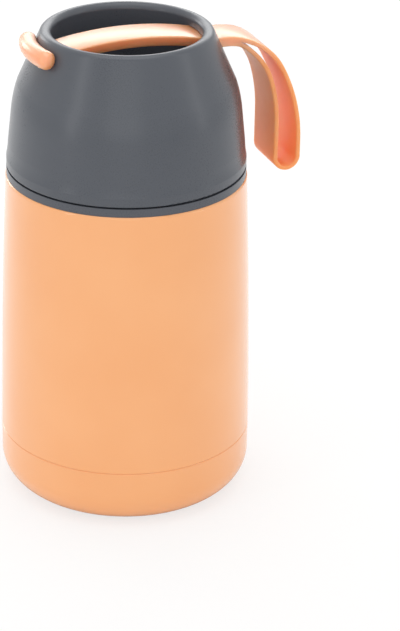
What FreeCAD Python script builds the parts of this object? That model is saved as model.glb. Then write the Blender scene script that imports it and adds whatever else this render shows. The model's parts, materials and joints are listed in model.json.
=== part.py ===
import FreeCAD, Part
import Sketcher
import math
import os
import re

# Vacuum-insulated food jar: painted steel body, screw stopper with a vent button, screw-on dome lid
# with an open neck, and a flexible strap that bridges the neck and ends in a hanging hand loop.
# Millimetres, +Z up, strap along X with its hand loop on +X, origin at the centre of the resting face.
# Driving sizes: alias, value, meaning.

driving_sizes = [
    # Steel body
    ("foot_radius", 35.05, "outer edge of the flat foot"),
    ("foot_width", 5.25, "width of the foot ring"),
    ("foot_recess", 1.6, "depth of the panel above the resting face"),
    ("corner_radius", 12.4, "large rounding between foot and side"),
    ("seam_height", 23.1, "weld between bottom cap and outer shell"),
    ("seam_chamfer", 0.3, "each side of the groove along the weld"),
    ("waist_height", 73.0, "height where the side's bulge is set"),
    ("waist_tuck", 0.9, "body's radius there, less than near the foot"),
    ("shoulder_height", 125.05, "top of the outer shell's shoulder"),
    ("shoulder_tuck", 2.8, "body's radius below the shoulder, less than near the foot"),
    ("shoulder_round", 1.0, "rounding of the shoulder"),
    ("shell_wall", 0.8, "steel of the outer shell and bottom cap"),
    ("liner_wall", 0.6, "steel of the liner"),
    ("vacuum_gap", 4.15, "vacuum between liner and shell at the waist"),
    ("floor_gap", 6.6, "vacuum between the bottom's panel and the liner"),
    ("liner_corner", 10.0, "rounding between vessel floor and side"),
    ("liner_weld_rise", 12.4, "weld of the liner's bottom above its floor"),
    ("liner_shoulder_drop", 20.05, "where the vessel starts to narrow, below the shoulder"),
    ("mouth_shelf", 9.65, "from the mouth's inside to the shoulder's side"),
    ("mouth_start_drop", 12.05, "where the mouth becomes straight, below the shoulder"),
    ("neck_gap", 0.6, "vacuum gap in the neck"),
    ("neck_height", 12.95, "steel neck above the shoulder"),
    ("rim_thick", 0.8, "welded rim on the neck"),
    # Pieces hidden in the vacuum space and under the base
    ("disc_gap", 0.3, "round the base disc"),
    ("disc_thick", 1.1, "base disc"),
    ("port_radius", 1.5, "vacuum port"),
    ("seal_radius", 3.0, "head of the vacuum seal"),
    ("seal_height", 1.0, "head of the vacuum seal"),
    ("getter_radius", 5.0, "getter pellet"),
    ("getter_height", 3.0, "getter pellet"),
    ("getter_offset", 14.0, "getter's distance from the axis"),
    ("foil_gap", 0.3, "from liner to foil"),
    ("foil_thick", 0.3, "foil"),
    ("foil_low_gap", 2.0, "foil's lower edge above the weld"),
    ("foil_high_gap", 3.0, "foil's upper edge below the narrowing"),
    # Collar
    ("collar_step", 0.45, "visible band inside the shoulder"),
    ("collar_band", 3.0, "height of the visible band"),
    ("collar_fit", 0.1, "gap to the steel neck"),
    ("sleeve_wall", 2.1, "threaded sleeve"),
    ("sleeve_top_drop", 0.4, "sleeve's top below the welded rim"),
    # Threads, two starts each
    ("lid_lead", 10.0, "rise of the lid's thread in one turn"),
    ("lid_thread_depth", 1.1, "ridge height"),
    ("lid_thread_base", 2.4, "ridge width at its root"),
    ("lid_thread_crest", 1.2, "ridge width at its crest"),
    ("lid_thread_start", 1.6, "first ridge above the collar band"),
    ("lid_thread_rise", 6.2, "height that one ridge climbs"),
    ("stopper_lead", 8.0, "rise of the stopper's thread in one turn"),
    ("stopper_thread_depth", 1.0, "ridge height"),
    ("stopper_thread_base", 1.9, "ridge width at its root"),
    ("stopper_thread_crest", 1.0, "ridge width at its crest"),
    ("stopper_thread_drop", 10.0, "first ridge in the mouth, below the neck's top"),
    ("stopper_thread_rise", 4.0, "height that one ridge climbs"),
    ("thread_gap", 0.4, "from crest to root"),
    ("thread_bite", 0.25, "ridge's root inside its wall"),
    # Dome lid
    ("dome_gap", 0.3, "seam between collar band and dome"),
    ("bead_step", 0.05, "bead along the dome's lower edge, inside the band"),
    ("dome_bead_height", 3.6, "height of the bead"),
    ("dome_edge_round", 0.9, "rounding of the lower edge"),
    ("dome_flank_step", 0.49, "dome between the bead and its waist, inside the bead"),
    ("dome_flank_rise", 6.4, "that height above the seam"),
    ("dome_waist_step", 0.7, "dome above the bead, inside the bead"),
    ("dome_waist_rise", 9.2, "that height above the seam"),
    ("dome_shoulder_step", 1.95, "where the dome starts to curve in, inside the bead"),
    ("dome_shoulder_rise", 21.15, "that height above the seam"),
    ("dome_cone_step", 4.25, "where the dome becomes a cone, inside the bead"),
    ("dome_cone_rise", 31.85, "that height above the seam"),
    ("dome_curve_step", 2.8, "dome halfway round that curve, inside the bead"),
    ("dome_curve_rise", 26.65, "that height above the seam"),
    ("dome_wall", 2.2, "moulded wall"),
    ("bead_wall", 2.25, "wall of the bead"),
    ("dome_ledge_rise", 11.15, "weld ledge above the dome's edge"),
    ("dome_ledge_width", 0.9, "weld ledge"),
    ("lip_step", 14.65, "centre line of the rounded lip, inside the bead"),
    ("lip_round", 2.3, "radius of the lip's section"),
    ("lip_rise", 49.55, "height of the lip's centre line above the seam"),
    ("lip_cavity_drop", 1.3, "hollow's top below the lip's section"),
    ("recess_wall", 1.8, "wall of the open recess"),
    ("recess_depth", 22.9, "floor of the recess below the lip's centre line"),
    ("recess_corner", 3.0, "rounding round that floor"),
    ("recess_floor_thick", 1.8, "floor of the recess"),
    # Inner cup of the lid
    ("cup_gap", 0.05, "fit in the dome"),
    ("cup_wall", 1.4, "moulded wall"),
    ("gasket_seat", 2.9, "width of the lid gasket's seat"),
    ("cup_ledge_thick", 1.5, "ledge over the gasket"),
    ("cup_ledge_gap", 0.35, "from that ledge to the dome's wall"),
    ("cup_edge_lift", 0.25, "cup's edge above the dome's edge"),
    ("cup_top_gap", 0.4, "from cup to recess floor"),
    ("cup_top_thick", 1.6, "cup's top"),
    ("gasket_gap", 0.3, "from gasket to its seat"),
    ("gasket_side_gap", 0.1, "round a gasket"),
    # Stopper
    ("stopper_wall", 1.8, "moulded wall"),
    ("stopper_floor_rise", 2.0, "underside of the stopper above the narrowing"),
    ("flange_step", 1.8, "flange over the rim, outside the mouth"),
    ("stopper_gasket_thick", 1.5, "gasket under the flange"),
    ("stopper_flange_thick", 1.6, "flange"),
    ("stopper_edge_round", 0.6, "rounding of the flange"),
    ("grip_wall", 1.5, "wall of the grip dish"),
    ("grip_depth", 14.7, "depth of the grip dish"),
    ("grip_fit", 0.1, "gap round the grip dish"),
    ("grip_bar_width", 8.0, "bar across the dish"),
    ("grip_bar_drop", 2.2, "bar's top below the stopper's top"),
    ("hub_wall", 2.5, "hub round the vent button"),
    ("foam_gap", 0.1, "round the foam"),
    # Vent
    ("tube_wall", 1.8, "vent tube"),
    ("stem_gap", 0.6, "round the button's stem"),
    ("button_radius", 6.7, "button's head"),
    ("button_height", 3.5, "button's head"),
    ("button_proud", 1.5, "button above the hub"),
    ("button_gap", 0.3, "round the button's head"),
    ("button_round", 0.6, "rounding of the button"),
    ("stem_radius", 2.6, "button's stem"),
    ("spring_room", 8.4, "spring's length at rest"),
    ("spring_reach", 2.0, "from stem to the spring's centre line"),
    ("spring_wire", 0.7, "wire's diameter"),
    ("spring_turns", 5.0, "turns of the spring"),
    ("spring_gap", 0.1, "at each end of the spring"),
    ("vent_seal_lap", 2.3, "seal under the stopper, past its bore"),
    ("vent_seal_thick", 2.7, "seal under the stopper"),
    ("vent_seal_socket", 1.3, "stem's depth in the seal"),
    ("vent_seal_gap", 0.1, "from seal to stopper"),
    # Strap
    ("band_width", 15.2, "band over the neck"),
    ("band_thick", 3.7, "band over the neck"),
    ("band_exit_drop", 2.8, "band's top where it leaves the neck, below the lip's centre line"),
    ("band_exit_reach", 3.5, "that place outside the lip's centre line"),
    ("band_rise", 3.6, "arch of the band over the recess"),
    ("band_reverse_radius", 28.0, "bend where the band levels out"),
    ("slot_gap", 0.4, "round the band in its slots"),
    ("slot_top_gap", 0.9, "above the band in its slots"),
    ("bar_reach", 6.1, "centre line of the end bar, outside the lip's"),
    ("bar_radius", 3.4, "section of the end bar"),
    ("bar_lift", 0.25, "end bar above the band's top"),
    ("bar_half_angle", 22.5, "end bar each side, degrees"),
    ("bar_end_round", 2.4, "rounding of the bar's ends"),
    ("bar_gap", 0.15, "from end bar to dome"),
    ("loop_root_reach", 6.5, "where the hand loop starts to bend, outside the lip's centre line"),
    ("loop_first_radius", 24.5, "outer layer's first bend"),
    ("loop_first_turn", 61.0, "same, degrees"),
    ("loop_second_radius", 62.0, "outer layer's long bend"),
    ("loop_layer", 1.7, "thickness of each layer"),
    ("loop_hole", 7.3, "gap between the layers"),
    ("loop_drop", 54.1, "lowest point of the loop below the band's top"),
    ("loop_straight_rise", 19.0, "inner layer's straight run, from the lowest point"),
    ("loop_inner_radius", 58.3, "inner layer's long bend"),
    ("loop_inner_turn", 16.5, "same, degrees"),
    ("loop_tip_turn", 12.7, "where the two layers part, degrees"),
    ("loop_width", 20.0, "width of the hanging loop"),
    ("loop_flare_start_reach", 2.0, "where the strap starts to widen, past its root"),
    ("loop_flare_end_reach", 14.0, "where it has widened, past its root"),
]

# Sizes that follow from those: alias, formula, meaning.

derived_sizes = [
    ("foot_inner_radius", "foot_radius - foot_width", "inner edge of the foot ring"),
    ("disc_radius", "foot_inner_radius - disc_gap", "base disc"),
    ("waist_radius", "foot_radius + corner_radius - waist_tuck", "body radius at the waist"),
    ("shoulder_radius", "foot_radius + corner_radius - shoulder_tuck", "body radius below the shoulder"),
    ("liner_radius", "waist_radius - shell_wall - vacuum_gap - liner_wall", "inside of the vessel"),
    ("liner_floor", "foot_recess + shell_wall + floor_gap + liner_wall", "inside floor of the vessel"),
    ("liner_weld", "liner_floor + liner_weld_rise", "weld between liner and its bottom"),
    ("liner_shoulder", "shoulder_height - liner_shoulder_drop", "where the vessel starts to narrow"),
    ("mouth_start", "shoulder_height - mouth_start_drop", "where the mouth becomes straight"),
    ("mouth_radius", "shoulder_radius - mouth_shelf", "inside of the mouth"),
    ("foil_low", "liner_weld + foil_low_gap", "foil's lower edge"),
    ("foil_high", "liner_shoulder - foil_high_gap", "foil's upper edge"),
    ("collar_radius", "shoulder_radius - collar_step", "visible band"),
    ("sleeve_radius", "mouth_radius + liner_wall + neck_gap + shell_wall + collar_fit + sleeve_wall",
     "threaded sleeve"),
    ("stopper_thread_start", "shoulder_height + neck_height - stopper_thread_drop",
     "first ridge in the mouth"),
    ("dome_low", "shoulder_height + collar_band + dome_gap", "dome's lower edge"),
    ("dome_bead_radius", "collar_radius - bead_step", "bead along that edge"),
    ("dome_flank_radius", "dome_bead_radius - dome_flank_step", "dome between the bead and its waist"),
    ("dome_waist_radius", "dome_bead_radius - dome_waist_step", "dome above the bead"),
    ("dome_shoulder_radius", "dome_bead_radius - dome_shoulder_step", "where the dome starts to curve in"),
    ("dome_shoulder_height", "dome_low + dome_shoulder_rise", "that height"),
    ("dome_cone_radius", "dome_bead_radius - dome_cone_step", "where the dome becomes a cone"),
    ("dome_cone_height", "dome_low + dome_cone_rise", "that height"),
    ("dome_curve_radius", "dome_bead_radius - dome_curve_step", "dome halfway round that curve"),
    ("dome_curve_height", "dome_low + dome_curve_rise", "that height"),
    ("dome_bore", "dome_bead_radius - bead_wall", "dome's inside round the inner cup"),
    ("lip_circle", "dome_bead_radius - lip_step", "centre line of the rounded lip"),
    ("lip_height", "dome_low + lip_rise", "height of that line"),
    ("recess_floor", "lip_height - recess_depth", "floor of the recess"),
    ("cup_ledge_radius", "sleeve_radius + lid_thread_depth + thread_gap - gasket_seat",
     "inside of the cup above its gasket"),
    ("stopper_floor", "mouth_start + stopper_floor_rise", "underside of the stopper"),
    ("stopper_flange_radius", "mouth_radius + flange_step", "flange over the rim"),
    ("hub_radius", "button_radius + button_gap + hub_wall", "hub round the vent button"),
    ("tube_bore", "stem_radius + stem_gap", "bore of the vent tube"),
    ("tube_radius", "tube_bore + tube_wall", "vent tube"),
    ("spring_radius", "stem_radius + spring_reach", "centre line of the spring"),
    ("vent_seal_radius", "tube_bore + vent_seal_lap", "seal under the stopper"),
    ("band_exit_height", "lip_height - band_exit_drop", "band's top where it leaves the neck"),
    ("band_half_span", "lip_circle + band_exit_reach", "from the axis to there"),
    ("bar_circle", "lip_circle + bar_reach", "centre line of the end bar"),
    ("bar_height", "band_exit_height + bar_lift", "height of the end bar"),
    ("loop_root", "lip_circle + loop_root_reach", "where the hand loop starts to bend"),
    ("loop_low", "band_exit_height - loop_drop", "lowest point of the loop"),
    ("loop_straight_high", "loop_low + loop_straight_rise", "top of the inner layer's straight run"),
    ("loop_flare_start", "loop_root + loop_flare_start_reach", "where the strap starts to widen"),
    ("loop_flare_end", "loop_root + loop_flare_end_reach", "where it has widened"),
]

doc = FreeCAD.newDocument("FoodJar")
sheet = doc.addObject("Spreadsheet::Sheet", "Sizes")
for row, (alias, number, meaning) in enumerate(driving_sizes, start=1):
    sheet.set(f"A{row}", meaning)
    sheet.set(f"B{row}", str(number))
    sheet.setAlias(f"B{row}", alias)
for row, (alias, formula, meaning) in enumerate(derived_sizes, start=len(driving_sizes) + 1):
    sheet.set(f"A{row}", meaning)
    sheet.set(f"B{row}", f"={formula}")
    sheet.setAlias(f"B{row}", alias)
doc.recompute()
aliases = {entry[0] for entry in driving_sizes + derived_sizes}


def cells(expression):
    """The expression with each alias pointing at the sheet."""
    def point(word):
        return f"Sizes.{word.group(0)}" if word.group(0) in aliases else word.group(0)
    return re.sub(r"[a-z][a-z_]*", point, str(expression))


def value(expression):
    """The number that an expression on the sheet's sizes gives now."""
    return float(sheet.evalExpression(cells(expression)))


# Places shared by mating pieces, as expressions on the sizes above

neck_inner = "(mouth_radius + liner_wall + neck_gap)"
neck_outer = f"({neck_inner} + shell_wall)"
neck_top = "(shoulder_height + neck_height)"
rim_top = f"({neck_top} + rim_thick)"
body_radius = "(foot_radius + corner_radius)"
sleeve_top = f"({neck_top} - sleeve_top_drop)"
band_top = "(shoulder_height + collar_band)"
dome_edge = f"({band_top} + dome_gap)"
dome_ledge = f"({dome_edge} + dome_ledge_rise)"
cup_outer = "(dome_bore - cup_gap)"
cup_thread_root = "(sleeve_radius + lid_thread_depth + thread_gap)"
cup_ledge = dome_ledge
cup_top = "(recess_floor - recess_floor_thick - cup_top_gap)"
stopper_root = "(mouth_radius - stopper_thread_depth - thread_gap)"
stopper_inner = f"({stopper_root} - stopper_wall)"
flange_low = f"({rim_top} + gasket_gap + stopper_gasket_thick)"
stopper_top = f"({flange_low} + stopper_flange_thick)"
grip_outer = f"({stopper_inner} - grip_fit)"
grip_floor = f"({stopper_top} - grip_depth)"
grip_under = f"({grip_floor} - grip_wall)"
hub_top = f"({stopper_top} - grip_bar_drop)"
button_top = f"({hub_top} + button_proud)"
button_under = f"({button_top} - button_height)"
spring_seat = f"({button_under} - spring_room)"
seal_top = "(stopper_floor - vent_seal_gap)"
slot_low = "(band_exit_height - band_thick - slot_gap)"
slot_high = "(band_exit_height + slot_top_gap)"


def spot(across, up):
    return FreeCAD.Vector(across, 0, up)


def plane_of(body, role):
    """One of the body's own origin planes."""
    return next(item for item in body.Origin.OriginFeatures if item.Role == role)


def new_body(name):
    body = doc.addObject("PartDesign::Body", name)
    body.Label = name
    return body


def new_sketch(body, name, role):
    sketch = body.newObject("Sketcher::SketchObject", name)
    sketch.AttachmentSupport = [(plane_of(body, role), "")]
    sketch.MapMode = "FlatFace"
    return sketch


def hold_point(sketch, geometry, position, label, across, up):
    """Fix one point of the sketch at two expressions."""
    places = (("DistanceX", across, -2, "across"), ("DistanceY", up, -1, "up"))
    for kind, expression, axis, word in places:
        number = value(expression)
        if abs(number) < 1e-9:
            sketch.addConstraint(Sketcher.Constraint("PointOnObject", geometry, position, axis))
            continue
        index = sketch.addConstraint(Sketcher.Constraint(kind, -1, 1, geometry, position, number))
        sketch.renameConstraint(index, f"{label}_{word}")
        sketch.setExpression(f"Constraints.{label}_{word}", cells(expression))


def drawn_arc(start, middle, end):
    """The arc through three points as a sketch holds it, anticlockwise, and whether that turns it round."""
    through = Part.Arc(start, middle, end).toShape().Curve
    centre = through.Center
    turns_left = (middle - start).cross(end - middle).z > 0
    first, last = (start, end) if turns_left else (end, start)
    angles = [math.atan2(point.y - centre.y, point.x - centre.x) for point in (first, last)]
    if angles[1] < angles[0]:
        angles[1] += 2 * math.pi
    circle = Part.Circle(centre, FreeCAD.Vector(0, 0, 1), through.Radius)
    return Part.ArcOfCircle(circle, *angles), not turns_left


def draw_outline(sketch, outline):
    """A closed outline of points; an item marked via bends the side between its two neighbours."""
    corners = []
    bends = {}
    for item in outline:
        if item[0] == "via":
            bends[len(corners) - 1] = item[1:]
        else:
            corners.append(item)
    spots = [FreeCAD.Vector(value(across), value(up), 0) for across, up in corners]
    sides = []
    for number, start in enumerate(spots):
        end = spots[(number + 1) % len(spots)]
        shape, turned_round = Part.LineSegment(start, end), False
        if number in bends:
            middle = FreeCAD.Vector(value(bends[number][0]), value(bends[number][1]), 0)
            shape, turned_round = drawn_arc(start, middle, end)
        first, last = (2, 1) if turned_round else (1, 2)
        sides.append((sketch.addGeometry(shape, False), first, last))
    for number, (geometry, first, last) in enumerate(sides):
        following = sides[(number + 1) % len(sides)]
        sketch.addConstraint(Sketcher.Constraint("Coincident", geometry, last, following[0], following[1]))
        hold_point(sketch, geometry, first, f"corner{number}", *corners[number])
    for number, (across, up) in bends.items():
        dot = sketch.addGeometry(Part.Point(FreeCAD.Vector(value(across), value(up), 0)), True)
        hold_point(sketch, dot, 1, f"bend{number}", across, up)
        sketch.addConstraint(Sketcher.Constraint("PointOnObject", dot, 1, sides[number][0]))


def round_point(across, up, radius, side, level):
    """The point halfway round a quarter circle; side and level are its quadrant's signs."""
    return ("via", f"{across} {side} {radius} * sqrt(0.5)", f"{up} {level} {radius} * sqrt(0.5)")


def turned(name, outline):
    """A body of revolution about Z from its half section."""
    body = new_body(name)
    sketch = new_sketch(body, f"{name}_section", "XZ_Plane")
    draw_outline(sketch, outline)
    doc.recompute()
    spin = body.newObject("PartDesign::Revolution", f"{name}_turned")
    spin.Profile = sketch
    spin.ReferenceAxis = (sketch, ["V_Axis"])
    spin.Angle = 360.0
    sketch.Visibility = False
    doc.recompute()
    return body


def add_thread(body, name, wall, depth, base, crest, start, lead, rise, inward=False):
    """Two helical ridges on a round wall, opposite each other."""
    sign, back = ("-", "+") if inward else ("+", "-")
    sketch = new_sketch(body, f"{name}_profile", "XZ_Plane")
    draw_outline(sketch, [
        (f"{wall} {back} thread_bite", f"{start} - {base} / 2"),
        (f"{wall} {sign} {depth}", f"{start} - {crest} / 2"),
        (f"{wall} {sign} {depth}", f"{start} + {crest} / 2"),
        (f"{wall} {back} thread_bite", f"{start} + {base} / 2"),
    ])
    doc.recompute()
    ridge = body.newObject("PartDesign::AdditiveHelix", f"{name}_ridge")
    ridge.Profile = sketch
    ridge.ReferenceAxis = (sketch, ["V_Axis"])
    ridge.Mode = 0
    ridge.Pitch = value(lead)
    ridge.Height = value(rise)
    ridge.setExpression("Pitch", cells(lead))
    ridge.setExpression("Height", cells(rise))
    ridge.Angle = 0.0
    ridge.LeftHanded = False
    ridge.Reversed = False
    sketch.Visibility = False
    doc.recompute()
    starts = body.newObject("PartDesign::PolarPattern", f"{name}_starts")
    starts.Originals = [ridge]
    starts.Axis = (sketch, ["V_Axis"])
    starts.Angle = 360.0
    starts.Occurrences = 2
    body.Tip = starts
    doc.recompute()


def pad(body, name, role, outline, length):
    """A block both ways from the sketch's plane."""
    sketch = new_sketch(body, f"{name}_outline", role)
    draw_outline(sketch, outline)
    doc.recompute()
    block = body.newObject("PartDesign::Pad", name)
    block.Profile = sketch
    block.Midplane = True
    block.Length = value(length)
    block.setExpression("Length", cells(length))
    sketch.Visibility = False
    doc.recompute()


def pocket(body, name, role, outline, length):
    """A cut both ways from the sketch's plane."""
    sketch = new_sketch(body, f"{name}_outline", role)
    draw_outline(sketch, outline)
    doc.recompute()
    before = body.Shape.Volume
    cut = body.newObject("PartDesign::Pocket", name)
    cut.Profile = sketch
    cut.Midplane = True
    cut.Length = value(length)
    cut.setExpression("Length", cells(length))
    sketch.Visibility = False
    doc.recompute()
    if not body.Shape.Volume < before:
        raise RuntimeError(f"{name} cuts nothing")


def rectangle(left, right, low, high):
    return [(left, low), (right, low), (right, high), (left, high)]


# Steel body

def make_bottom_cap():
    inner_corner = "(corner_radius - shell_wall)"
    panel = "(foot_recess + shell_wall)"
    turned("bottom_cap", [
        ("port_radius", "foot_recess"),
        ("foot_inner_radius", "foot_recess"),
        ("foot_inner_radius", "0"),
        ("foot_radius", "0"),
        round_point("foot_radius", "corner_radius", "corner_radius", "+", "-"),
        (body_radius, "corner_radius"),
        (body_radius, "seam_height - seam_chamfer"),
        (f"{body_radius} - seam_chamfer", "seam_height"),
        (f"{body_radius} - shell_wall", "seam_height"),
        (f"{body_radius} - shell_wall", "corner_radius"),
        round_point("foot_radius", "corner_radius", inner_corner, "+", "-"),
        ("foot_radius", "shell_wall"),
        ("foot_inner_radius + shell_wall", "shell_wall"),
        ("foot_inner_radius + shell_wall", panel),
        ("port_radius", panel),
    ])


def make_outer_shell():
    turned("outer_shell", [
        (f"{body_radius} - shell_wall", "seam_height"),
        (f"{body_radius} - seam_chamfer", "seam_height"),
        (body_radius, "seam_height + seam_chamfer"),
        ("via", "waist_radius", "waist_height"),
        ("shoulder_radius", "shoulder_height - shoulder_round"),
        round_point("(shoulder_radius - shoulder_round)", "(shoulder_height - shoulder_round)",
                    "shoulder_round", "+", "+"),
        ("shoulder_radius - shoulder_round", "shoulder_height"),
        (neck_outer, "shoulder_height"),
        (neck_outer, neck_top),
        (neck_inner, neck_top),
        (neck_inner, "shoulder_height - shell_wall"),
        ("shoulder_radius - shoulder_round", "shoulder_height - shell_wall"),
        ("shoulder_radius - shell_wall", "shoulder_height - shoulder_round - shell_wall"),
        ("via", "waist_radius - shell_wall", "waist_height"),
    ])


def make_inner_vessel():
    outer = "(liner_radius + liner_wall)"
    mouth_outer = "(mouth_radius + liner_wall)"
    body = turned("inner_vessel", [
        ("liner_radius", "liner_weld"),
        (outer, "liner_weld"),
        (outer, "liner_shoulder"),
        (mouth_outer, "mouth_start"),
        (mouth_outer, neck_top),
        (neck_outer, neck_top),
        (neck_outer, f"{rim_top} - rim_thick / 2"),
        round_point(f"({neck_outer} - rim_thick / 2)", f"({rim_top} - rim_thick / 2)", "(rim_thick / 2)",
                    "+", "+"),
        (f"{neck_outer} - rim_thick / 2", rim_top),
        ("mouth_radius + rim_thick", rim_top),
        round_point("(mouth_radius + rim_thick)", f"({rim_top} - rim_thick)", "rim_thick", "-", "+"),
        ("mouth_radius", f"{rim_top} - rim_thick"),
        ("mouth_radius", "mouth_start - liner_wall / 2"),
        ("liner_radius", "liner_shoulder - liner_wall / 2"),
    ])
    add_thread(body, "mouth_thread", "mouth_radius", "stopper_thread_depth", "stopper_thread_base",
               "stopper_thread_crest", "stopper_thread_start", "stopper_lead", "stopper_thread_rise", True)


def make_inner_bottom():
    outer = "(liner_radius + liner_wall)"
    flat = "(liner_radius - liner_corner)"
    bend = "(liner_floor + liner_corner)"
    turned("inner_bottom", [
        ("0", "liner_floor - liner_wall"),
        (flat, "liner_floor - liner_wall"),
        round_point(flat, bend, "(liner_corner + liner_wall)", "+", "-"),
        (outer, bend),
        (outer, "liner_weld"),
        ("liner_radius", "liner_weld"),
        ("liner_radius", bend),
        round_point(flat, bend, "liner_corner", "+", "-"),
        (flat, "liner_floor"),
        ("0", "liner_floor"),
    ])


def make_hidden_pieces():
    panel = "(foot_recess + shell_wall)"
    turned("vacuum_seal", [
        ("0", "foot_recess"),
        ("port_radius", "foot_recess"),
        ("port_radius", panel),
        ("seal_radius", panel),
        ("seal_radius", f"{panel} + seal_height / 2"),
        ("port_radius", f"{panel} + seal_height"),
        ("0", f"{panel} + seal_height"),
    ])
    turned("base_disc", rectangle("0", "disc_radius", "foot_recess - disc_thick", "foot_recess"))
    getter = doc.addObject("Part::Cylinder", "getter")
    getter.Label = "getter"
    getter.setExpression("Radius", cells("getter_radius"))
    getter.setExpression("Height", cells("getter_height"))
    getter.setExpression("Placement.Base.x", cells("getter_offset"))
    getter.setExpression("Placement.Base.z", cells(panel))
    foil_inner = "(liner_radius + liner_wall + foil_gap)"
    turned("radiation_foil", rectangle(foil_inner, f"{foil_inner} + foil_thick", "foil_low", "foil_high"))


def make_collar():
    bore = f"({neck_outer} + collar_fit)"
    body = turned("neck_collar", [
        (bore, "shoulder_height"),
        ("collar_radius", "shoulder_height"),
        ("collar_radius", band_top),
        ("sleeve_radius", band_top),
        ("sleeve_radius", sleeve_top),
        (bore, sleeve_top),
    ])
    add_thread(body, "collar_thread", "sleeve_radius", "lid_thread_depth", "lid_thread_base",
               "lid_thread_crest", f"({band_top} + lid_thread_start)", "lid_lead", "lid_thread_rise")


# Dome lid

def cone_slope():
    """Angle of the dome's cone from the vertical, where it runs straight into the round lip."""
    across = value("dome_cone_radius - lip_circle")
    up = value("lip_height - dome_cone_height")
    return math.atan2(across, up) - math.asin(value("lip_round") / math.hypot(across, up))


def cone_radius(height):
    """Outer radius of the dome on its cone at this height."""
    return value("dome_cone_radius") - (height - value("dome_cone_height")) * math.tan(cone_slope())


def make_dome_cover():
    across = "(dome_cone_radius - lip_circle)"
    up = "(lip_height - dome_cone_height)"
    reach = f"sqrt({across} ^ 2 + {up} ^ 2)"
    slope = f"(atan({across} / {up}) - asin(lip_round / {reach}))"
    lean = f"(dome_wall / cos({slope}))"
    cavity_high = "(lip_height - lip_round - lip_cavity_drop)"
    recess_inner = "(lip_circle - lip_round)"
    recess_outer = f"({recess_inner} + recess_wall)"
    floor_low = "(recess_floor - recess_floor_thick)"
    cone_at_cavity = f"(dome_cone_radius - ({cavity_high} - dome_cone_height) * tan({slope}))"
    body = turned("dome_cover", [
        ("dome_bore", dome_edge),
        ("dome_bead_radius - dome_edge_round", dome_edge),
        round_point("(dome_bead_radius - dome_edge_round)", f"({dome_edge} + dome_edge_round)",
                    "dome_edge_round", "+", "-"),
        ("dome_bead_radius", f"{dome_edge} + dome_edge_round"),
        ("dome_bead_radius", f"{dome_edge} + dome_bead_height"),
        ("via", "dome_flank_radius", f"{dome_edge} + dome_flank_rise"),
        ("dome_waist_radius", f"{dome_edge} + dome_waist_rise"),
        ("dome_shoulder_radius", "dome_shoulder_height"),
        ("via", "dome_curve_radius", "dome_curve_height"),
        ("dome_cone_radius", "dome_cone_height"),
        (f"lip_circle + lip_round * cos({slope})", f"lip_height + lip_round * sin({slope})"),
        ("via", "lip_circle", "lip_height + lip_round"),
        (recess_inner, "lip_height"),
        (recess_inner, "recess_floor + recess_corner"),
        round_point(f"({recess_inner} - recess_corner)", "(recess_floor + recess_corner)",
                    "recess_corner", "+", "-"),
        (f"{recess_inner} - recess_corner", "recess_floor"),
        ("0", "recess_floor"),
        ("0", floor_low),
        (recess_outer, floor_low),
        (recess_outer, cavity_high),
        (f"{cone_at_cavity} - {lean}", cavity_high),
        (f"dome_cone_radius - {lean}", "dome_cone_height"),
        ("via", "dome_curve_radius - dome_wall", "dome_curve_height - dome_wall / 3"),
        ("dome_shoulder_radius - dome_wall", "dome_shoulder_height"),
        ("dome_bore - dome_ledge_width", dome_ledge),
        ("dome_bore", dome_ledge),
    ])
    pocket(body, "strap_slots", "YZ_Plane",
           rectangle("0 - (band_width / 2 + slot_gap)", "band_width / 2 + slot_gap", slot_low, slot_high),
           "dome_bead_radius * 2")


def make_dome_liner():
    wall_outer = "(cup_ledge_radius + cup_wall)"
    edge = f"({dome_edge} + cup_edge_lift)"
    body = turned("dome_liner", [
        (cup_thread_root, edge),
        (cup_outer, edge),
        (cup_outer, cup_ledge),
        (f"{cup_outer} - dome_ledge_width - cup_ledge_gap", cup_ledge),
        (f"{cup_outer} - dome_ledge_width - cup_ledge_gap", f"{cup_ledge} + cup_ledge_thick"),
        (wall_outer, f"{cup_ledge} + cup_ledge_thick"),
        (wall_outer, cup_top),
        ("0", cup_top),
        ("0", f"{cup_top} - cup_top_thick"),
        ("cup_ledge_radius", f"{cup_top} - cup_top_thick"),
        ("cup_ledge_radius", cup_ledge),
        (cup_thread_root, cup_ledge),
    ])
    add_thread(body, "lid_thread", cup_thread_root, "lid_thread_depth", "lid_thread_base",
               "lid_thread_crest", f"({band_top} + lid_thread_start + lid_lead / 4)", "lid_lead",
               "(lid_thread_rise - lid_lead / 4)", True)


def make_dome_gasket():
    low = f"({sleeve_top} + gasket_gap)"
    turned("dome_gasket", rectangle("cup_ledge_radius", f"{cup_thread_root} - gasket_side_gap",
                                    low, cup_ledge))


# Stopper

def make_stopper_cup():
    body = turned("stopper_cup", [
        ("tube_bore", "stopper_floor"),
        (f"{stopper_root} - stopper_edge_round", "stopper_floor"),
        round_point(f"({stopper_root} - stopper_edge_round)", "(stopper_floor + stopper_edge_round)",
                    "stopper_edge_round", "+", "-"),
        (stopper_root, "stopper_floor + stopper_edge_round"),
        (stopper_root, flange_low),
        ("stopper_flange_radius", flange_low),
        ("stopper_flange_radius", f"{stopper_top} - stopper_edge_round"),
        round_point("(stopper_flange_radius - stopper_edge_round)", f"({stopper_top} - stopper_edge_round)",
                    "stopper_edge_round", "+", "+"),
        ("stopper_flange_radius - stopper_edge_round", stopper_top),
        (stopper_inner, stopper_top),
        (stopper_inner, "stopper_floor + stopper_wall"),
        ("tube_radius", "stopper_floor + stopper_wall"),
        ("tube_radius", grip_under),
        ("tube_bore", grip_under),
    ])
    add_thread(body, "stopper_thread", stopper_root, "stopper_thread_depth", "stopper_thread_base",
               "stopper_thread_crest", "(stopper_thread_start - stopper_lead / 4)", "stopper_lead",
               "stopper_thread_rise")


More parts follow.
